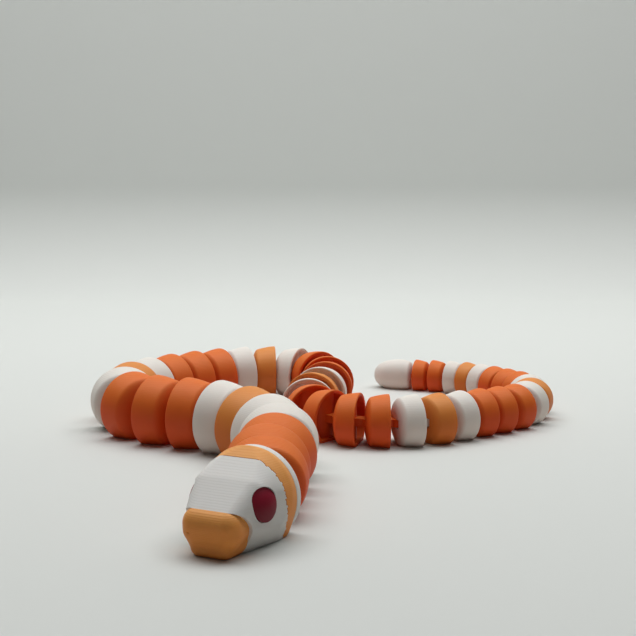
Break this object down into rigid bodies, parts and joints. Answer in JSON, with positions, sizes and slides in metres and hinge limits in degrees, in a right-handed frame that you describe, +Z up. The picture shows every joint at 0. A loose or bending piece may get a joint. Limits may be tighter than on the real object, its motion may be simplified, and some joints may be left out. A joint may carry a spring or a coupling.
{
  "type": "articulated snake toy",
  "caption": "Jointed snake toy lying in a double curve: wedge-shaped head, banded cup-shaped links that turn on vertical pins, and a blunt tapering tail.",
  "frame": {"origin": "middle of the ground that the coiled snake covers, on the surface it lies on", "axes": "+Z up; -Y is the side that the head points to, so the picture looks along +Y; +X to the right of that view"},
  "size_m": [0.1104, 0.142, 0.0147],
  "materials": {
    "orange_pla": "printed, satin, with fine layer lines",
    "white_pla": "printed, satin, with fine layer lines",
    "gold_pla": "printed, satin, with fine layer lines",
    "red_pla": "printed, smooth"
  },
  "bodies": {
    "head": {"collar": "white_pla", "head_band": "gold_pla", "face": "white_pla", "snout": "gold_pla", "eye_left": "red_pla", "eye_right": "red_pla"},
    "link_1": {"link_1": "orange_pla"},
    "link_2": {"link_2": "orange_pla"},
    "link_3": {"link_3": "orange_pla"},
    "link_4": {"link_4": "white_pla"},
    "link_5": {"link_5": "white_pla"},
    "link_6": {"link_6": "gold_pla"},
    "link_7": {"link_7": "white_pla"},
    "link_8": {"link_8": "orange_pla"},
    "link_9": {"link_9": "orange_pla"},
    "link_10": {"link_10": "orange_pla"},
    "link_11": {"link_11": "white_pla"},
    "link_12": {"link_12": "gold_pla"},
    "link_13": {"link_13": "white_pla"},
    "link_14": {"link_14": "orange_pla"},
    "link_15": {"link_15": "orange_pla"},
    "link_16": {"link_16": "orange_pla"},
    "link_17": {"link_17": "white_pla"},
    "link_18": {"link_18": "gold_pla"},
    "link_19": {"link_19": "white_pla"},
    "link_20": {"link_20": "orange_pla"},
    "link_21": {"link_21": "orange_pla"},
    "link_22": {"link_22": "orange_pla"},
    "link_23": {"link_23": "white_pla"},
    "link_24": {"link_24": "gold_pla"},
    "link_25": {"link_25": "white_pla"},
    "link_26": {"link_26": "orange_pla"},
    "link_27": {"link_27": "orange_pla"},
    "link_28": {"link_28": "orange_pla"},
    "link_29": {"link_29": "orange_pla"},
    "link_30": {"link_30": "white_pla"},
    "link_31": {"link_31": "gold_pla"},
    "link_32": {"link_32": "white_pla"},
    "link_33": {"link_33": "orange_pla"},
    "link_34": {"link_34": "orange_pla"},
    "link_35": {"link_35": "orange_pla"},
    "link_36": {"link_36": "white_pla"},
    "link_37": {"link_37": "gold_pla"},
    "link_38": {"link_38": "white_pla"},
    "link_39": {"link_39": "orange_pla"},
    "link_40": {"link_40": "orange_pla"},
    "link_41": {"link_41": "orange_pla"},
    "link_42": {"link_42": "white_pla"},
    "link_43": {"link_43": "gold_pla"},
    "link_44": {"link_44": "white_pla"},
    "link_45": {"link_45": "orange_pla"},
    "link_46": {"link_46": "orange_pla"},
    "tail_tip": {"tail_tip": "white_pla"}
  },
  "joints": [
    {"name": "head_to_link_1", "type": "hinge", "parent": "head", "child": "link_1", "pos_m": [-0.01099, -0.05127, 0.00614], "axis": [0, 0, 1], "range_deg": [-62, 2]},
    {"name": "link_1_to_link_2", "type": "hinge", "parent": "link_1", "child": "link_2", "pos_m": [-0.01169, -0.04324, 0.00621], "axis": [0, 0, 1], "range_deg": [-22, 42]},
    {"name": "link_2_to_link_3", "type": "hinge", "parent": "link_2", "child": "link_3", "pos_m": [-0.01098, -0.03512, 0.00628], "axis": [0, 0, 1], "range_deg": [-27, 37]},
    {"name": "link_3_to_link_4", "type": "hinge", "parent": "link_3", "child": "link_4", "pos_m": [-0.00955, -0.02701, 0.00634], "axis": [0, 0, 1], "range_deg": [-47, 17]},
    {"name": "link_4_to_link_5", "type": "hinge", "parent": "link_4", "child": "link_5", "pos_m": [-0.01028, -0.01871, 0.00641], "axis": [0, 0, -1], "range_deg": [-12, 52]},
    {"name": "link_5_to_link_6", "type": "hinge", "parent": "link_5", "child": "link_6", "pos_m": [-0.01384, -0.01108, 0.00648], "axis": [0, 0, -1], "range_deg": [-17, 47]},
    {"name": "link_6_to_link_7", "type": "hinge", "parent": "link_6", "child": "link_7", "pos_m": [-0.01931, -0.00456, 0.00655], "axis": [0, 0, -1], "range_deg": [-17, 43]},
    {"name": "link_7_to_link_8", "type": "hinge", "parent": "link_7", "child": "link_8", "pos_m": [-0.02635, 0.00037, 0.00647], "axis": [0, 0, -1], "range_deg": [-22, 26]},
    {"name": "link_8_to_link_9", "type": "hinge", "parent": "link_8", "child": "link_9", "pos_m": [-0.03405, 0.00397, 0.0064], "axis": [0, 0, 1], "range_deg": [-20, 37]},
    {"name": "link_9_to_link_10", "type": "hinge", "parent": "link_9", "child": "link_10", "pos_m": [-0.04133, 0.00817, 0.00632], "axis": [0, 0, 1], "range_deg": [-12, 52]},
    {"name": "link_10_to_link_11", "type": "hinge", "parent": "link_10", "child": "link_11", "pos_m": [-0.04666, 0.01453, 0.00625], "axis": [0, 0, 1], "range_deg": [-2, 62]},
    {"name": "link_11_to_link_12", "type": "hinge", "parent": "link_11", "child": "link_12", "pos_m": [-0.04809, 0.0226, 0.00617], "axis": [0, 0, 1], "range_deg": [-7, 57]},
    {"name": "link_12_to_link_13", "type": "hinge", "parent": "link_12", "child": "link_13", "pos_m": [-0.04599, 0.03043, 0.00609], "axis": [0, 0, -1], "range_deg": [-47, 8]},
    {"name": "link_13_to_link_14", "type": "hinge", "parent": "link_13", "child": "link_14", "pos_m": [-0.04199, 0.03736, 0.00602], "axis": [0, 0, -1], "range_deg": [-42, 7]},
    {"name": "link_14_to_link_15", "type": "hinge", "parent": "link_14", "child": "link_15", "pos_m": [-0.03691, 0.04341, 0.00594], "axis": [0, 0, -1], "range_deg": [-37, 7]},
    {"name": "link_15_to_link_16", "type": "hinge", "parent": "link_15", "child": "link_16", "pos_m": [-0.03139, 0.04893, 0.00587], "axis": [0, 0, -1], "range_deg": [-37, 7]},
    {"name": "link_16_to_link_17", "type": "hinge", "parent": "link_16", "child": "link_17", "pos_m": [-0.02549, 0.05388, 0.00579], "axis": [0, 0, 1], "range_deg": [-7, 47]},
    {"name": "link_17_to_link_18", "type": "hinge", "parent": "link_17", "child": "link_18", "pos_m": [-0.0186, 0.05709, 0.00572], "axis": [0, 0, 1], "range_deg": [-7, 52]},
    {"name": "link_18_to_link_19", "type": "hinge", "parent": "link_18", "child": "link_19", "pos_m": [-0.01113, 0.05775, 0.00564], "axis": [0, 0, 1], "range_deg": [-2, 62]},
    {"name": "link_19_to_link_20", "type": "hinge", "parent": "link_19", "child": "link_20", "pos_m": [-0.00442, 0.05462, 0.00556], "axis": [0, 0, 1], "range_deg": [-2, 62]},
    {"name": "link_20_to_link_21", "type": "hinge", "parent": "link_20", "child": "link_21", "pos_m": [-0.00023, 0.04864, 0.00549], "axis": [0, 0, -1], "range_deg": [-62, 2]},
    {"name": "link_21_to_link_22", "type": "hinge", "parent": "link_21", "child": "link_22", "pos_m": [0.0004, 0.04146, 0.00541], "axis": [0, 0, -1], "range_deg": [-47, 17]},
    {"name": "link_22_to_link_23", "type": "hinge", "parent": "link_22", "child": "link_23", "pos_m": [-0.00083, 0.03446, 0.00534], "axis": [0, 0, -1], "range_deg": [-37, 21]},
    {"name": "link_23_to_link_24", "type": "hinge", "parent": "link_23", "child": "link_24", "pos_m": [-0.00264, 0.02769, 0.00526], "axis": [0, 0, -1], "range_deg": [-32, 25]},
    {"name": "link_24_to_link_25", "type": "hinge", "parent": "link_24", "child": "link_25", "pos_m": [-0.00443, 0.02102, 0.00518], "axis": [0, 0, 1], "range_deg": [-29, 17]},
    {"name": "link_25_to_link_26", "type": "hinge", "parent": "link_25", "child": "link_26", "pos_m": [-0.00443, 0.01422, 0.00511], "axis": [0, 0, 1], "range_deg": [-39, 12]},
    {"name": "link_26_to_link_27", "type": "hinge", "parent": "link_26", "child": "link_27", "pos_m": [-0.00214, 0.00791, 0.00503], "axis": [0, 0, 1], "range_deg": [-57, 2]},
    {"name": "link_27_to_link_28", "type": "hinge", "parent": "link_27", "child": "link_28", "pos_m": [0.00292, 0.00367, 0.00496], "axis": [0, 0, 1], "range_deg": [-57, 7]},
    {"name": "link_28_to_link_29", "type": "hinge", "parent": "link_28", "child": "link_29", "pos_m": [0.00921, 0.00198, 0.00488], "axis": [0, 0, -1], "range_deg": [-17, 47]},
    {"name": "link_29_to_link_30", "type": "hinge", "parent": "link_29", "child": "link_30", "pos_m": [0.01562, 0.00198, 0.0048], "axis": [0, 0, -1], "range_deg": [-16, 47]},
    {"name": "link_30_to_link_31", "type": "hinge", "parent": "link_30", "child": "link_31", "pos_m": [0.02171, 0.00362, 0.00473], "axis": [0, 0, -1], "range_deg": [-15, 47]},
    {"name": "link_31_to_link_32", "type": "hinge", "parent": "link_31", "child": "link_32", "pos_m": [0.02709, 0.00672, 0.00465], "axis": [0, 0, -1], "range_deg": [-15, 37]},
    {"name": "link_32_to_link_33", "type": "hinge", "parent": "link_32", "child": "link_33", "pos_m": [0.03209, 0.01022, 0.00458], "axis": [0, 0, 1], "range_deg": [-32, 15]},
    {"name": "link_33_to_link_34", "type": "hinge", "parent": "link_33", "child": "link_34", "pos_m": [0.03701, 0.01367, 0.0045], "axis": [0, 0, 1], "range_deg": [-32, 14]},
    {"name": "link_34_to_link_35", "type": "hinge", "parent": "link_34", "child": "link_35", "pos_m": [0.04186, 0.01706, 0.00443], "axis": [0, 0, 1], "range_deg": [-42, 14]},
    {"name": "link_35_to_link_36", "type": "hinge", "parent": "link_35", "child": "link_36", "pos_m": [0.04596, 0.02117, 0.00435], "axis": [0, 0, 1], "range_deg": [-47, 14]},
    {"name": "link_36_to_link_37", "type": "hinge", "parent": "link_36", "child": "link_37", "pos_m": [0.04882, 0.02611, 0.00427], "axis": [0, 0, -1], "range_deg": [-14, 47]},
    {"name": "link_37_to_link_38", "type": "hinge", "parent": "link_37", "child": "link_38", "pos_m": [0.05027, 0.03153, 0.0042], "axis": [0, 0, -1], "range_deg": [-12, 52]},
    {"name": "link_38_to_link_39", "type": "hinge", "parent": "link_38", "child": "link_39", "pos_m": [0.04979, 0.03702, 0.00412], "axis": [0, 0, -1], "range_deg": [-17, 47]},
    {"name": "link_39_to_link_40", "type": "hinge", "parent": "link_39", "child": "link_40", "pos_m": [0.04794, 0.04211, 0.00405], "axis": [0, 0, -1], "range_deg": [-22, 42]},
    {"name": "link_40_to_link_41", "type": "hinge", "parent": "link_40", "child": "link_41", "pos_m": [0.04528, 0.04671, 0.00397], "axis": [0, 0, 1], "range_deg": [-32, 30]},
    {"name": "link_41_to_link_42", "type": "hinge", "parent": "link_41", "child": "link_42", "pos_m": [0.04268, 0.05122, 0.00389], "axis": [0, 0, 1], "range_deg": [-37, 27]},
    {"name": "link_42_to_link_43", "type": "hinge", "parent": "link_42", "child": "link_43", "pos_m": [0.03975, 0.05541, 0.00382], "axis": [0, 0, 1], "range_deg": [-42, 22]},
    {"name": "link_43_to_link_44", "type": "hinge", "parent": "link_43", "child": "link_44", "pos_m": [0.0362, 0.05896, 0.00374], "axis": [0, 0, 1], "range_deg": [-47, 17]},
    {"name": "link_44_to_link_45", "type": "hinge", "parent": "link_44", "child": "link_45", "pos_m": [0.03195, 0.06141, 0.00367], "axis": [0, 0, -1], "range_deg": [-27, 37]},
    {"name": "link_45_to_link_46", "type": "hinge", "parent": "link_45", "child": "link_46", "pos_m": [0.02758, 0.06345, 0.00359], "axis": [0, 0, -1], "range_deg": [-27, 37]},
    {"name": "link_46_to_tail_tip", "type": "hinge", "parent": "link_46", "child": "tail_tip", "pos_m": [0.02315, 0.06506, 0.00351], "axis": [0, 0, -1], "range_deg": [-32, 32]}
  ]
}
